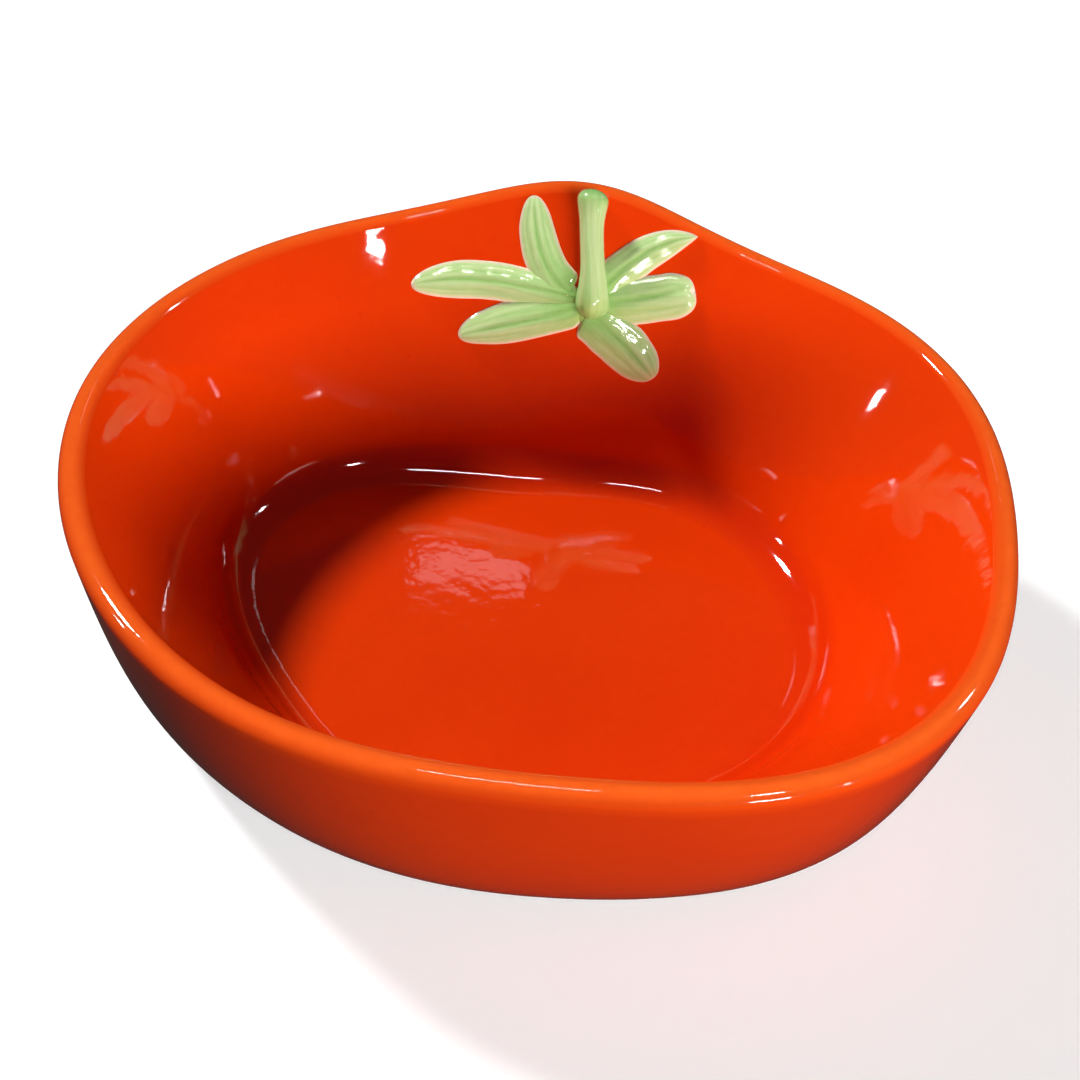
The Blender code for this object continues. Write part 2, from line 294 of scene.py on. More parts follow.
class DishStudio(bpy.types.PropertyGroup):
    """Camera and lights"""

    azimuth: FloatProperty(
        name="Azimuth", description="Camera's turn to the right of the front",
        default=radians(0.91), unit="ROTATION")
    elevation: FloatProperty(
        name="Elevation", description="Camera's angle above the floor",
        default=radians(41.72), unit="ROTATION")
    roll: FloatProperty(
        name="Roll", description="Camera's turn about its own line of sight",
        default=radians(6.83), unit="ROTATION")
    distance: FloatProperty(
        name="Distance", description="From the camera to what it looks at",
        default=0.400, unit="LENGTH")
    lens: FloatProperty(
        name="Lens", description="Focal length for a 36 mm sensor",
        default=69.49, subtype="DISTANCE_CAMERA")
    key_power: FloatProperty(
        name="Key light", description="Strength of the main light",
        default=3.65, min=0)
    key_spread: FloatProperty(
        name="Key spread", description="Apparent width of the main light",
        default=radians(8), unit="ROTATION")
    fill_power: FloatProperty(
        name="Fill light", description="Power of the broad, low light in front",
        default=29.0, unit="POWER")
    spark_power: FloatProperty(
        name="Sparks", description="Power of the small lights, for each square metre",
        default=300.0, unit="POWER")
    sky: FloatProperty(
        name="Sky", description="Strength of the even light from all round",
        default=0.03, min=0)
    table_glow: FloatProperty(
        name="Table glow", description="How much the pale floor shines by itself",
        default=0.62, min=0)


# ---------------------------------------------------------------- shaders


class Value:
    """A socket of a shader, on which sums are written as in plain Python."""

    def __init__(self, shader, socket):
        self.shader = shader
        self.socket = socket

    def work(self, operation, first, second, clamp=False):
        settings = {"operation": operation, "use_clamp": clamp}
        node = self.shader.node("ShaderNodeMath", settings, {0: first, 1: second})
        return Value(self.shader, node.outputs[0])

    def __add__(self, other):
        return self.work("ADD", self, other)

    def __radd__(self, other):
        return self.work("ADD", other, self)

    def __sub__(self, other):
        return self.work("SUBTRACT", self, other)

    def __rsub__(self, other):
        return self.work("SUBTRACT", other, self)

    def __mul__(self, other):
        return self.work("MULTIPLY", self, other)

    def __rmul__(self, other):
        return self.work("MULTIPLY", other, self)

    def clamped(self):
        return self.work("ADD", self, 0.0, clamp=True)


class Shader:
    """A material under construction."""

    def __init__(self, name, preview):
        self.material = bpy.data.materials.new(PREFIX + name)
        self.material.use_nodes = True
        self.material.diffuse_color = (*preview, 1)
        self.tree = self.material.node_tree
        self.surface = self.tree.nodes["Principled BSDF"]

    def node(self, kind, settings, sockets):
        """Adds a node, sets it up, then fills its sockets with values or links."""
        node = self.tree.nodes.new(kind)
        for name, value in settings.items():
            if name == "stops":
                self.set_stops(node.color_ramp, value)
            else:
                setattr(node, name, value)
        self.fill(node, sockets)
        return node

    def fill(self, node, sockets):
        for key, value in sockets.items():
            socket = node.inputs[key]
            if isinstance(value, Value):
                self.tree.links.new(value.socket, socket)
            elif socket.type == "RGBA":
                socket.default_value = (*value[:3], 1)
            else:
                socket.default_value = value

    def set_stops(self, ramp, stops):
        while len(ramp.elements) < len(stops):
            ramp.elements.new(0.5)
        for element, (place, shade) in zip(ramp.elements, stops):
            element.position = place
            element.color = (shade, shade, shade, 1)

    def place(self):
        node = self.node("ShaderNodeTexCoord", {}, {})
        return Value(self, node.outputs["Object"])

    def attribute(self, name):
        node = self.node("ShaderNodeAttribute", {"attribute_name": name}, {})
        return Value(self, node.outputs["Fac"])

    def cloud(self, vector, scale, detail=2.0, roughness=0.5, distortion=0.0):
        sockets = {"Vector": vector, "Scale": scale, "Detail": detail,
                   "Roughness": roughness, "Distortion": distortion}
        node = self.node("ShaderNodeTexNoise", {}, sockets)
        return Value(self, node.outputs["Fac"])

    def specks(self, vector, scale, size):
        """1 in the middle of scattered round specks, 0 outside them."""
        cells = self.node("ShaderNodeTexVoronoi", {}, {"Vector": vector, "Scale": scale})
        distance = Value(self, cells.outputs["Distance"])
        return self.ramp(distance, ((0.0, 1.0), (size, 0.0)))

    def ramp(self, value, stops):
        node = self.node("ShaderNodeValToRGB", {"stops": stops}, {"Fac": value})
        return Value(self, node.outputs["Color"])

    def blend(self, factor, low, high):
        """A colour between two colours."""
        settings = {"data_type": "RGBA", "clamp_factor": True}
        node = self.node("ShaderNodeMix", settings, {0: factor, 6: low, 7: high})
        return Value(self, node.outputs[2])

    def bump(self, height, distance):
        sockets = {"Height": height, "Distance": distance, "Strength": 1.0}
        node = self.node("ShaderNodeBump", {}, sockets)
        return Value(self, node.outputs["Normal"])

    def finish(self, sockets):
        self.fill(self.surface, sockets)
        return self.material


def red_glaze(colours):
    """Thick gloss: even red, orange where it thins over an edge, deep where it pooled."""
    shader = Shader("red_glaze", colours.red)
    place = shader.place()
    drift = shader.ramp(shader.cloud(place, 28.0, 3.0), ((0.35, 0.0), (0.68, 1.0)))
    mottle = shader.cloud(place, 420.0, 4.0, 0.65)
    thin = shader.attribute("thin")
    pool = shader.attribute("pool")
    colour = shader.blend(drift * 0.22 + (mottle - 0.5) * 0.25, colours.red, colours.red_deep)
    colour = shader.blend(pool * (0.55 + mottle * 0.25), colour, colours.red_deep)
    colour = shader.blend(thin * (0.65 + mottle * 0.5), colour, colours.red_thin)
    pinholes = shader.specks(place, 95.0, 0.055)
    colour = shader.blend(pinholes * 0.45, colour, colours.red_deep)
    smudge = shader.ramp(shader.cloud(place, 46.0, 5.0, 0.6, 0.8), ((0.52, 0.0), (0.74, 1.0)))
    peel = shader.cloud(place, 210.0, 2.0) + shader.cloud(place, 900.0, 2.0) * 0.12
    return shader.finish({
        "Base Color": colour,
        "Roughness": 0.035 + smudge * 0.04 + mottle * 0.015,
        "IOR": 1.46,
        "Coat Weight": 0.1,
        "Coat Roughness": 0.03,
        "Normal": shader.bump(peel - pinholes * 0.4, 0.00004),
    })


def green_glaze(colours):
    """Pale gloss over a carved blade: deep in the furrows, thin on ridges and edges."""
    shader = Shader("green_glaze", colours.green)
    place = shader.place()
    across = shader.attribute("blade_across")
    along = shader.attribute("blade_along")
    lines = shader.node("ShaderNodeCombineXYZ", {}, {"X": across * 4.6, "Y": along * 1.8})
    streaks = shader.cloud(Value(shader, lines.outputs[0]), 1.0, 3.0, 0.55, 0.4)
    streaks = shader.ramp(streaks, ((0.42, 0.0), (0.66, 1.0)))
    mottle = shader.cloud(place, 620.0, 4.0, 0.6)
    furrow = shader.attribute("furrow")
    root = shader.attribute("root")
    edge = shader.attribute("edge")
    colour = shader.blend(mottle * 0.35, colours.green, colours.green_pale)
    depth = (streaks * 0.34 + furrow * 0.62 + (mottle - 0.5) * 0.30).clamped()
    colour = shader.blend(depth, colour, colours.green_deep)
    colour = shader.blend((root * (0.55 + mottle * 0.4)).clamped(), colour, colours.green_deep)
    wander = shader.cloud(place, 950.0, 2.0)
    line = shader.ramp(edge + (wander - 0.5) * 0.35, ((0.28, 0.0), (0.70, 1.0)))
    colour = shader.blend(line * 0.85, colour, colours.slip)
    swell = shader.cloud(place, 500.0, 2.0) + streaks * 0.3
    return shader.finish({
        "Base Color": colour,
        "Roughness": 0.05 + mottle * 0.03,
        "IOR": 1.5,
        "Coat Weight": 0.6,
        "Coat Roughness": 0.02,
        "Normal": shader.bump(swell, 0.00008),
    })


def bare_clay(colours):
    """Dry, sandy clay with dark specks and darker rubbed patches scattered at random."""
    shader = Shader("bare_clay", colours.clay)
    place = shader.place()
    sand = shader.cloud(place, 1400.0, 5.0, 0.7)
    drift = shader.cloud(place, 60.0, 3.0)
    grit = shader.specks(place, 520.0, 0.16)
    rubbed = shader.ramp(drift * 0.6 + sand * 0.4, ((0.45, 0.0), (0.75, 1.0)))
    colour = shader.blend(rubbed * 0.45, colours.clay, colours.clay_dark)
    colour = shader.blend(grit * 0.7, colour, colours.clay_dark)
    return shader.finish({
        "Base Color": colour,
        "Roughness": 0.78 + sand * 0.2,
        "Normal": shader.bump(sand + grit * 0.5, 0.00018),
    })


def plain_floor(colours, glow):
    shader = Shader("floor", colours.floor)
    grain = shader.cloud(shader.place(), 300.0, 3.0)
    shade = shader.blend(grain * 0.12, colours.floor, [part * 0.96 for part in colours.floor])
    return shader.finish({"Base Color": shade, "Roughness": 0.9, "Specular IOR Level": 0.2,
                          "Emission Color": (1, 1, 1), "Emission Strength": glow})


# ---------------------------------------------------------------- outlines


def mix(low, high, share):
    return low + (high - low) * share


def bump_at(value, middle, spread):
    """1 at the middle of a soft bump, and near 0 beyond its spread."""
    return exp(-(((value - middle) / spread) ** 2))


def steps(count, first=0.0, last=1.0):
    return [mix(first, last, index / count) for index in range(count + 1)]


class Dish:
    """The curves of the dish, worked out from its sizes."""

    def __init__(self, sizes):
        self.sizes = sizes
        turns = range(-180, 180)
        rim = [self.plan(self.rim_outline(turn), 0, turn) for turn in turns]
        low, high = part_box("bowl_body")
        self.middle = Vector((
            (low.x + high.x - min(p.x for p in rim) - max(p.x for p in rim)) / 2,
            (low.y + high.y - min(p.y for p in rim) - max(p.y for p in rim)) / 2,
            0,
        ))

    def outline(self, width, depth, waves, bearing):
        turn = radians(bearing)
        radius = (width + depth) / 4 - (width - depth) / 4 * cos(2 * turn)
        for count, height, crest in waves:
            radius += height * cos(count * (turn - radians(crest)))
        return radius

    def rim_outline(self, bearing):
        return self.outline(self.sizes.rim_width, self.sizes.rim_depth, RIM_WAVES, bearing)

    def floor_outline(self, bearing):
        return self.outline(self.sizes.floor_width, self.sizes.floor_depth, FLOOR_WAVES, bearing)

    def base_outline(self, bearing):
        return self.outline(self.sizes.base_width, self.sizes.base_depth, BASE_WAVES, bearing)

    def plan(self, radius, height, bearing):
        turn = radians(bearing)
        return Vector((-radius * sin(turn), radius * cos(turn), height))

    def roll_radius(self):
        return self.sizes.rim_thickness / (1 - cos(self.sizes.roll_start))

    def roll_height(self, bearing):
        rise = self.sizes.lip_rise * bump_at(radians(bearing), 0, self.sizes.lip_spread)
        return self.sizes.rim_height - self.roll_radius() + rise

    def wall_top(self, bearing):
        return self.roll_height(bearing) + self.roll_radius() * sin(self.sizes.roll_start)

    def floor_at(self, share, bearing):
        return (self.floor_outline(bearing) - self.sizes.floor_fillet) * share, self.sizes.floor_top

    def wall_at(self, climb, bearing):
        flared = climb + self.sizes.wall_flare * (climb * climb - climb)
        top = self.rim_outline(bearing) - self.sizes.rim_thickness
        radius = mix(self.floor_outline(bearing), top, flared)
        return radius, mix(self.sizes.floor_top, self.wall_top(bearing), climb)

    def fillet_climb(self):
        return self.sizes.floor_fillet / (self.sizes.rim_height - self.sizes.floor_top)

    def fillet_at(self, share, bearing):
        start = Vector(self.floor_at(1, bearing))
        corner = Vector(self.wall_at(0, bearing))
        end = Vector(self.wall_at(self.fillet_climb(), bearing))
        return start.lerp(corner, share).lerp(corner.lerp(end, share), share)

    def roll_at(self, turn, bearing):
        size = self.roll_radius()
        radius = self.rim_outline(bearing) - size + size * cos(turn)
        return radius, self.roll_height(bearing) + size * sin(turn)

    def underside(self):
        return self.sizes.foot_height + self.sizes.joint_gap

    def belly_at(self, climb, bearing):
        low = self.underside() + self.sizes.heel_radius
        share = climb ** self.sizes.belly
        radius = mix(self.base_outline(bearing), self.rim_outline(bearing), share)
        return radius, mix(low, self.roll_height(bearing), climb)

    def heel_at(self, turn, bearing):
        size = self.sizes.heel_radius
        radius = self.base_outline(bearing) - size + size * cos(turn)
        return radius, self.underside() + size - size * sin(turn)

    def under_at(self, share, bearing):
        return (self.base_outline(bearing) - self.sizes.heel_radius) * share, self.underside()

    def foot_at(self, corner, bearing):
        inset, height = corner
        return self.base_outline(bearing) - inset, height

    def wall_lean(self):
        foot = self.wall_at(0, 0)
        top = self.wall_at(1, 0)
        return atan2(top[0] - foot[0], top[1] - foot[1])

    def wall_point(self, across, up):
        """Point of the inner back wall at a distance across and up from the calyx."""
        x = self.sizes.calyx_across + across
        height = self.sizes.calyx_height + up * cos(self.wall_lean())
        bearing = 0.0
        for _ in range(6):
            rise = self.wall_top(bearing) - self.sizes.floor_top
            climb = (height - self.sizes.floor_top) / rise
            radius = self.wall_at(climb, bearing)[0]
            bearing = -degrees(asin(x / radius))
        return self.plan(radius, height, bearing)

    def off_wall(self, across, up, lift):
        """Point at a distance off the inner back wall, square to it."""
        step = 0.0005
        along = self.wall_point(across + step, up) - self.wall_point(across - step, up)
        rise = self.wall_point(across, up + step) - self.wall_point(across, up - step)
        return self.wall_point(across, up) + along.cross(rise).normalized() * lift + self.middle


def wander(point, scale, seed):
    """Smooth change from -1 to 1 over a surface, scale in bumps per metre."""
    return noise.noise(Vector(point) * scale + Vector((seed, seed * 2.3, -seed)))


# ---------------------------------------------------------------- pieces


def add_piece(name, bm, maker, *nodes):
    """Makes a piece of the dish out of a bmesh, in place of the named frame nodes."""
    mesh = bpy.data.meshes.new(name)
    bm.to_mesh(mesh)
    bm.free()
    mesh.shade_smooth()
    mesh.materials.append(shared_material(maker))
    piece = bpy.data.objects.new(name, mesh)
    bpy.context.scene.collection.objects.link(piece)
    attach(piece, "root")
    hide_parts(*nodes)
    return piece


def shared_material(maker):
    """The material of that maker, made once and used by every piece that asks."""
    found = bpy.data.materials.get(PREFIX + maker.__name__)
    return found or maker(bpy.context.scene.dish_colours)


def turn_section(dish, section, closed):
    """Spins a section about Z, then settles every vertex on its own outline."""
    bm = bmesh.new()
    station = bm.verts.layers.int.new("station")
    chain = []
    for index, (shape, value) in enumerate(section):
        vertex = bm.verts.new(dish.plan(*shape(value, 0), 0))
        vertex[station] = index
        chain.append(vertex)
    for first, second in zip(chain, chain[1:]):
        bm.edges.new((first, second))
    if closed:
        bm.edges.new((chain[-1], chain[0]))
    bmesh.ops.spin(bm, geom=bm.verts[:] + bm.edges[:], cent=(0, 0, 0), axis=(0, 0, 1),
                   angle=2 * pi, steps=dish.sizes.steps_round, use_merge=True)
    bmesh.ops.remove_doubles(bm, verts=bm.verts[:], dist=0.000001)
    for vertex in bm.verts:
        shape, value = section[vertex[station]]
        bearing = degrees(atan2(-vertex.co.x, vertex.co.y))
        vertex.co = dish.plan(*shape(value, bearing), bearing) + dish.middle
    bmesh.ops.recalc_face_normals(bm, faces=bm.faces[:])
    bm.normal_update()
    return bm, station


def bowl_section(dish):
    """Stations from the middle of the floor over the rim to the middle underneath."""
    start = dish.fillet_climb()
    section = [(dish.floor_at, share) for share in steps(FLOOR_STEPS)[:-1]]
    section += [(dish.fillet_at, share) for share in steps(FILLET_STEPS)]
    section += [(dish.wall_at, climb) for climb in steps(WALL_STEPS, start, 1)[1:]]
    section += [(dish.roll_at, turn) for turn in steps(ROLL_STEPS, dish.sizes.roll_start, 0)[1:]]
    section += [(dish.belly_at, climb**2) for climb in steps(BELLY_STEPS, 1, 0)[1:]]
    section += [(dish.heel_at, turn) for turn in steps(HEEL_STEPS, 0, pi / 2)[1:]]
    section += [(dish.under_at, share) for share in steps(UNDER_STEPS, 1, 0)[1:]]
    return section


def glaze_marks(dish, shape, value):
    """How thin the glaze is over an edge and how deep it pooled, at a station."""
    if shape == dish.roll_at:
        return bump_at(value, radians(75), radians(55)), 0.0
    if shape == dish.fillet_at:
        return 0.0, sin(pi * value)
    if shape == dish.heel_at:
        return 0.6, 0.0
    if shape == dish.belly_at:
        return 0.5 * bump_at(value, 0, 0.03), 0.0
    return 0.0, 0.0


def make_bowl(sizes):
    """The bowl, with a glaze that wanders a little to the inside of the true surface."""
    dish = Dish(sizes)
    section = bowl_section(dish)
    bm, station = turn_section(dish, section, closed=False)
    thin = bm.verts.layers.float.new("thin")
    pool = bm.verts.layers.float.new("pool")
    for vertex in bm.verts:
        vertex[thin], vertex[pool] = glaze_marks(dish, *section[vertex[station]])
        sway = 0.6 * wander(vertex.co, 26, 3.1) + 0.3 * wander(vertex.co, 70, 7.7)
        vertex.co += vertex.normal * (sizes.glaze_wave * (sway - 1))
    bm.verts.layers.int.remove(station)
    return add_piece("bowl_body_glazed", bm, red_glaze, "bowl_body")


def foot_section(dish):
    """A ring with well rounded lower edges."""
    sizes = dish.sizes
    outer = sizes.foot_inset
    inner = outer + sizes.foot_thickness
    size = FOOT_ROUND
    top = sizes.foot_height
    halfway = top * 0.6
    corners = [(outer, top), (outer, halfway)]
    for turn in steps(FOOT_ROUND_STEPS, 0, pi / 2):
        corners.append((outer + size - size * cos(turn), size - size * sin(turn)))
    corners.append(((outer + inner) / 2, 0))
    for turn in steps(FOOT_ROUND_STEPS, pi / 2, 0):
        corners.append((inner - size + size * cos(turn), size - size * sin(turn)))
    corners += [(inner, halfway), (inner, top)]
    return [(dish.foot_at, corner) for corner in corners]


def make_foot(sizes):
    """The bare ring: its sides wander a little, and its top and underside stay flat."""
    dish = Dish(sizes)
    bm, station = turn_section(dish, foot_section(dish), closed=True)
    low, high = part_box("foot_ring")
    flat = 0.0001
    for vertex in bm.verts:
        sway = 0.00008 * (wander(vertex.co, 60, 1.3) - 1)
        if low.z + flat < vertex.co.z < high.z - flat:
            vertex.co += vertex.normal * sway
    bm.verts.layers.int.remove(station)
    return add_piece("foot_ring_clay", bm, bare_clay, "foot_ring")


def blade_line(blade, share):
    """Point on the middle line of a blade, and the direction to its left."""
    root, bend, tip = (Vector(point) * MILLIMETRE for point in (blade.root, blade.bend, blade.tip))
    first = root.lerp(bend, share)
    second = bend.lerp(tip, share)
    along = (second - first).normalized()
    return first.lerp(second, share), Vector((-along.y, along.x))


def blade_half_width(blade, share, side):
    """Half the width of a blade at a share of its length, on the side asked for."""
    widest = (blade.left if side > 0 else blade.right) * MILLIMETRE
    if share < blade.widest:
        swell = sin(pi / 2 * share / blade.widest)
        return widest * mix(blade.root_share, 1, swell)
    past = (share - blade.widest) / (1 - blade.widest)
    return widest * max(1 - past**2, 0) ** blade.blunt


def blade_form(blade, share, side):
    """Height of a blade as a share of its thickness, and how deep its furrows are."""
    pillow = max(1 - side * side, 0) ** 0.72
    tip = sqrt(max(1 - max((share - TIP_START) / (1 - TIP_START), 0) ** 2, 0))
    crown = 0.70 + 0.30 * (1 - side * side) * sin(pi * mix(0.2, 0.95, share))
    run = sin(pi * min(share * 1.02, 1)) ** 0.5
    middle = bump_at(side, blade.cleft * share, FURROW_WIDTH) * run
    veins = sum(bump_at(side, vein, VEIN_WIDTH) for vein in VEINS)
    veins *= run * bump_at(share, 0.55, 0.30)
    furrow = middle + 0.45 * veins
    return pillow * tip * crown - 0.16 * middle - 0.09 * veins, furrow


def make_blade(blade, sizes):
    """A carved sepal on the wall, with its edges sunk into the glaze."""
    dish = Dish(sizes)
    bm = bmesh.new()
    bmesh.ops.create_grid(bm, x_segments=90, y_segments=36, size=1)
    names = ("blade_along", "blade_across", "furrow", "edge", "root")
    for name in names:
        bm.verts.layers.float.new(name)
    layers = {name: bm.verts.layers.float[name] for name in names}
    raised = bmesh.ops.extrude_face_region(bm, geom=bm.faces[:])["geom"]
    upper = {item for item in raised if isinstance(item, bmesh.types.BMVert)}
    seed = sum(ord(letter) for letter in blade.node) * 0.37
    for vertex in bm.verts:
        share = sin(pi / 4 * (vertex.co.x + 1))
        side = sin(pi / 2 * vertex.co.y)
        end = 1 - blade.notch * bump_at(side, blade.cleft, CLEFT_WIDTH) * share**4
        place, left = blade_line(blade, share * end)
        half = blade_half_width(blade, share, side)
        half *= 1 + 0.06 * wander((share * 5, copysign(1, side), 0), 1, seed)
        half *= sqrt(max(1 - max(1 - share / ROOT_ROUND, 0) ** 2, 0))
        spot = place + left * (half * side)
        form, furrow = blade_form(blade, share, side)
        lift = -SINK
        if vertex in upper:
            lift = sizes.blade_thickness * form
            lift += 0.00012 * wander((*spot, 0), 400, seed) * (1 - side**2)
        vertex.co = dish.off_wall(spot.x, spot.y, lift)
        to_edge = min(half * (1 - abs(side)), (1 - share) * TIP_REACH)
        vertex[layers["blade_along"]] = share
        vertex[layers["blade_across"]] = side
        vertex[layers["furrow"]] = max(furrow, 0)
        vertex[layers["edge"]] = exp(-to_edge / EDGE_REACH)
        vertex[layers["root"]] = bump_at(spot.length, 0, ROOT_REACH)
    bmesh.ops.remove_doubles(bm, verts=bm.verts[:], dist=0.000002)
    bmesh.ops.recalc_face_normals(bm, faces=bm.faces[:])
    return add_piece(blade.node + "_relief", bm, green_glaze, blade.node)


def set_marks(bm, along, across, furrow, edge, root):
    """Gives every vertex the marks that the green glaze reads, from functions of it."""
    makers = {"blade_along": along, "blade_across": across, "furrow": furrow,
              "edge": edge, "root": root}
    for name, maker in makers.items():
        layer = bm.verts.layers.float.new(name)
        for vertex in bm.verts:
            vertex[layer] = maker(vertex)


def make_hub(sizes):
    """The low, rounded collar where sepals and stem meet."""
    dish = Dish(sizes)
    bm = bmesh.new()
    bmesh.ops.create_uvsphere(bm, u_segments=64, v_segments=40, radius=1)
    facing = (dish.off_wall(0, 0, 1) - dish.off_wall(0, 0, 0)).to_track_quat("Z", "Y")
    origin = dish.off_wall(*HUB_PLACE, 0)
    set_marks(
        bm,
        along=lambda vertex: 0.5 + 0.5 * vertex.co.x,
        across=lambda vertex: vertex.co.y,
        furrow=lambda vertex: 0.35 * bump_at(vertex.co.z, 0.25, 0.3),
        edge=lambda vertex: 0.0,
        root=lambda vertex: 1.0,
    )
    for vertex in bm.verts:
        lump = 1 + 0.06 * wander(vertex.co, 1.7, 5.0)
        flat = 1 - 0.18 * bump_at(vertex.co.z, 1, 0.35)
        size = Vector((sizes.hub_radius, sizes.hub_radius, sizes.hub_lift * 0.93 * flat))
        point = vertex.co * size * lump
        if point.z < 0:
            point.z *= HUB_BACK
        vertex.co = origin + facing @ point
    bmesh.ops.recalc_face_normals(bm, faces=bm.faces[:])
    return add_piece("calyx_hub_glazed", bm, green_glaze, "calyx_hub")


def stem_profile(share):
    """Radius of the stem as a share of its middle: flared root, rod, knob, round ends."""
    flare = 0.46 * bump_at(share, 0.10, 0.20)
    knob = 0.30 * bump_at(share, 0.93, 0.12)
    end = sqrt(max(1 - max((share - 0.90) / 0.10, 0) ** 2.6, 0))
    start = sqrt(max(1 - max(1 - share / 0.13, 0) ** 2, 0))
    return (1 + flare + knob) * end * start


def make_stem(sizes):
    """The stem laid up the wall, from inside the hub to a rounded cut end."""
    dish = Dish(sizes)
    bm = bmesh.new()
    station = bm.verts.layers.float.new("share")
    ring = bmesh.ops.create_circle(bm, cap_ends=True, segments=40, radius=1)["verts"]
    loop = [edge for edge in bm.edges if edge.is_boundary]
    for share in [0.5 - 0.5 * cos(pi * part) for part in steps(72)][1:]:
        grown = bmesh.ops.extrude_edge_only(bm, edges=loop)["geom"]
        ring = [item for item in grown if isinstance(item, bmesh.types.BMVert)]
        loop = [item for item in grown if isinstance(item, bmesh.types.BMEdge)]
        for vertex in ring:
            vertex[station] = share
    bmesh.ops.contextual_create(bm, geom=loop)

    def furrow(vertex):
        return 0.5 * bump_at(vertex.co.x, -0.35, 0.2) * (1 - vertex[station])

    def edge(vertex):
        return 0.55 * bump_at(vertex.co.y, -0.25, 0.35) * (1 - vertex[station] ** 6)

    def root(vertex):
        share = vertex[station]
        return 0.9 * bump_at(share, 1, 0.13) + 0.8 * bump_at(share, 0, 0.2)

    set_marks(
        bm,
        along=lambda vertex: vertex[station],
        across=lambda vertex: vertex.co.x,
        furrow=furrow,
        edge=edge,
        root=root,
    )
    for vertex in bm.verts:
        share = vertex[station]
        radius = sizes.stem_radius * max(stem_profile(share), 0.02)
        turn = atan2(vertex.co.y, vertex.co.x)
        radius *= 1 + 0.05 * cos(3 * turn + 0.6) * (1 - share**4)
        middle = mix(*STEM_ACROSS, share) + 0.00025 * sin(2 * pi * share)
        up = mix(STEM_START, sizes.stem_length + STEM_OVER, share)
        across = middle + radius * cos(turn)
        off = sizes.stem_radius * (0.95 - 0.75 * bump_at(share, 0, 0.24))
        lift = off + radius * sin(turn)
        vertex.co = dish.off_wall(across, up, lift)
    bm.verts.layers.float.remove(bm.verts.layers.float["share"])
    bmesh.ops.remove_doubles(bm, verts=bm.verts[:], dist=0.000001)
    bmesh.ops.recalc_face_normals(bm, faces=bm.faces[:])
    return add_piece("stem_glazed", bm, green_glaze, "stem")


# ---------------------------------------------------------------- stage


def make_floor(colours, glow):
    """A wide pale floor that ends in a low wall far away. The dish doesn't mirror it."""
    bm = bmesh.new()
    bmesh.ops.create_circle(bm, cap_ends=True, segments=64, radius=FLOOR_RADIUS)
    wall = bmesh.ops.extrude_edge_only(bm, edges=bm.edges[:])["geom"]
    raised = [item for item in wall if isinstance(item, bmesh.types.BMVert)]
    bmesh.ops.translate(bm, verts=raised, vec=(0, 0, FLOOR_WALL))
    mesh = bpy.data.meshes.new("floor")
    bm.to_mesh(mesh)
    bm.free()
    mesh.materials.append(plain_floor(colours, glow))
    floor = bpy.data.objects.new("floor", mesh)
    bpy.context.scene.collection.objects.link(floor)
    floor.location.z = -FLOOR_DROP
    floor.visible_glossy = False
    floor.visible_diffuse = False
    floor.visible_shadow = False


def make_camera(studio, target):
    """The camera at its azimuth and elevation, turned about its line of sight."""
    forward = Vector((
        -sin(studio.azimuth) * cos(studio.elevation),
        cos(studio.azimuth) * cos(studio.elevation),
        -sin(studio.elevation),
    ))
    level = forward.cross(Vector((0, 0, 1))).normalized()
    upright = level.cross(forward)
    right = level * cos(studio.roll) + upright * sin(studio.roll)
    up = right.cross(forward)
    camera = bpy.data.objects.new("camera", bpy.data.cameras.new("camera"))
    camera.data.sensor_width = SENSOR_WIDTH
    camera.data.lens = studio.lens
    camera.data.clip_start = 0.01
    turned = Matrix((right, up, -forward)).transposed().to_4x4()
    camera.matrix_world = Matrix.Translation(target - forward * studio.distance) @ turned
    bpy.context.scene.collection.objects.link(camera)
    bpy.context.scene.camera = camera


def aim_light(light, azimuth, elevation, target):
    """Hangs a light so that it faces the target. Azimuth is from +X towards +Y."""
    lamp = bpy.data.objects.new(light.name, light)
    away = Vector((
        cos(radians(azimuth)) * cos(radians(elevation)),
        sin(radians(azimuth)) * cos(radians(elevation)),
        sin(radians(elevation)),
    ))
    turned = away.to_track_quat("Z", "Y").to_matrix().to_4x4()
    lamp.matrix_world = Matrix.Translation(target + away * LIGHT_DISTANCE) @ turned
    bpy.context.scene.collection.objects.link(lamp)
    return lamp


def key_light(studio):
    light = bpy.data.lights.new("key", "SUN")
    light.energy = studio.key_power
    light.angle = studio.key_spread
    return light


def panel_light(name, power, width, length):
    light = bpy.data.lights.new(name, "AREA")
    light.shape = "RECTANGLE"
    light.size = width
    light.size_y = length
    light.energy = power
    return light


def make_lights(studio, target):
    """The key light, the fill that isn't mirrored, the sparks that are only mirrored."""
    aim_light(key_light(studio), *KEY_PLACE, target)
    fill = aim_light(panel_light("fill", studio.fill_power, *FILL_SIZE), *FILL_PLACE, target)
    fill.visible_glossy = False
    for name, width, length, azimuth, elevation, share in SPARKS:
        power = studio.spark_power * share * width * length
        light = panel_light(name, power, width, length)
        aim_light(light, azimuth, elevation, target).visible_diffuse = False
    world = bpy.data.worlds.new("studio")
    world.use_nodes = True
    background = world.node_tree.nodes["Background"]
    background.inputs["Color"].default_value = (1, 1, 1, 1)
    background.inputs["Strength"].default_value = studio.sky
    bpy.context.scene.world = world
    bpy.context.scene.view_settings.view_transform = "Standard"


# ---------------------------------------------------------------- operators and panel


class DISH_OT_bowl(bpy.types.Operator):
    """Make the glazed bowl: floor, wall, rim, lip and belly"""

    bl_idname = "dish.bowl"
    bl_label = "Bowl"

    def execute(self, context):
        make_bowl(context.scene.dish_sizes)
        return {"FINISHED"}


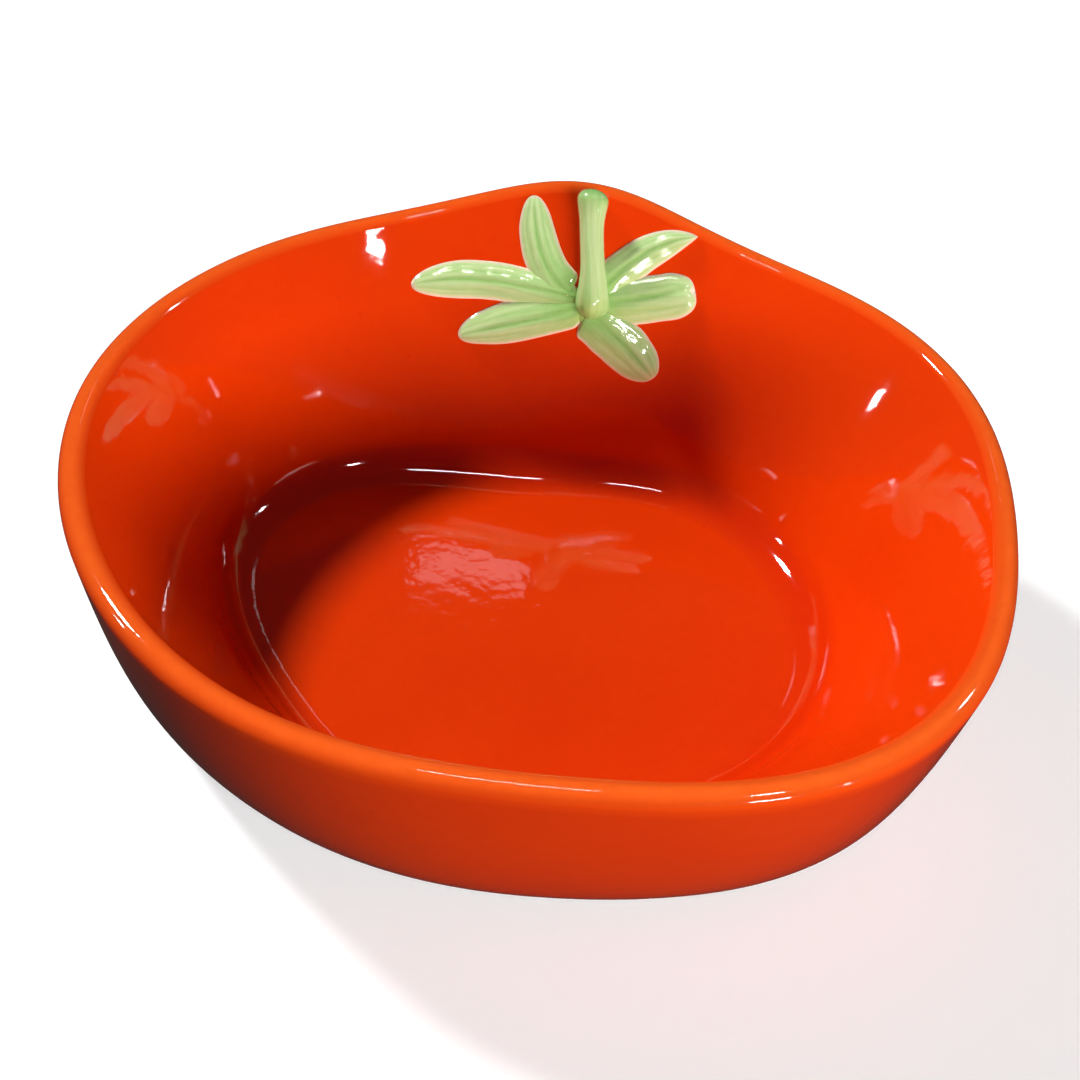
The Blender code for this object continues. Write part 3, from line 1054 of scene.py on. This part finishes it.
class DISH_OT_foot(bpy.types.Operator):
    """Make the bare clay ring that the bowl stands on"""

    bl_idname = "dish.foot"
    bl_label = "Foot Ring"

    def execute(self, context):
        make_foot(context.scene.dish_sizes)
        return {"FINISHED"}


class DISH_OT_sepals(bpy.types.Operator):
    """Make the six carved sepals on the back wall"""

    bl_idname = "dish.sepals"
    bl_label = "Sepals"

    def execute(self, context):
        for blade in BLADES:
            make_blade(blade, context.scene.dish_sizes)
        return {"FINISHED"}


class DISH_OT_hub(bpy.types.Operator):
    """Make the boss where the sepals and the stem meet"""

    bl_idname = "dish.hub"
    bl_label = "Calyx Hub"

    def execute(self, context):
        make_hub(context.scene.dish_sizes)
        return {"FINISHED"}


class DISH_OT_stem(bpy.types.Operator):
    """Make the stem with its rounded end"""

    bl_idname = "dish.stem"
    bl_label = "Stem"

    def execute(self, context):
        make_stem(context.scene.dish_sizes)
        return {"FINISHED"}


class DISH_OT_stage(bpy.types.Operator):
    """Make the floor, the lights and the camera"""

    bl_idname = "dish.stage"
    bl_label = "Stage"

    def execute(self, context):
        low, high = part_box("bowl_body")
        middle = Vector(((low.x + high.x) / 2, (low.y + high.y) / 2, 0))
        studio = context.scene.dish_studio
        make_floor(context.scene.dish_colours, studio.table_glow)
        make_camera(studio, middle + Vector(CAMERA_AIM))
        make_lights(studio, middle + Vector(LIGHT_AIM))
        return {"FINISHED"}


OPERATORS = (DISH_OT_bowl, DISH_OT_foot, DISH_OT_sepals, DISH_OT_hub, DISH_OT_stem, DISH_OT_stage)


class DISH_PT_panel(bpy.types.Panel):
    """Lists the pieces of the dish and its sizes and colours"""

    bl_idname = "DISH_PT_panel"
    bl_label = "Tomato Dish"
    bl_space_type = "VIEW_3D"
    bl_region_type = "UI"
    bl_category = "Tomato Dish"

    def draw(self, context):
        for operator in OPERATORS:
            self.layout.operator(operator.bl_idname)
        scene = context.scene
        for group in (scene.dish_sizes, scene.dish_colours, scene.dish_studio):
            box = self.layout.box()
            for name in group.__annotations__:
                box.prop(group, name)


CLASSES = (DishSizes, DishColours, DishStudio, *OPERATORS, DISH_PT_panel)


def register():
    for item in CLASSES:
        bpy.utils.register_class(item)
    bpy.types.Scene.dish_sizes = PointerProperty(type=DishSizes)
    bpy.types.Scene.dish_colours = PointerProperty(type=DishColours)
    bpy.types.Scene.dish_studio = PointerProperty(type=DishStudio)


def unregister():
    del bpy.types.Scene.dish_studio
    del bpy.types.Scene.dish_colours
    del bpy.types.Scene.dish_sizes
    for item in reversed(CLASSES):
        bpy.utils.unregister_class(item)


def main():
    register()
    bpy.ops.dish.stage()
    bpy.ops.dish.bowl()
    bpy.ops.dish.foot()
    bpy.ops.dish.sepals()
    bpy.ops.dish.hub()
    bpy.ops.dish.stem()


if __name__ == "__main__":
    main()
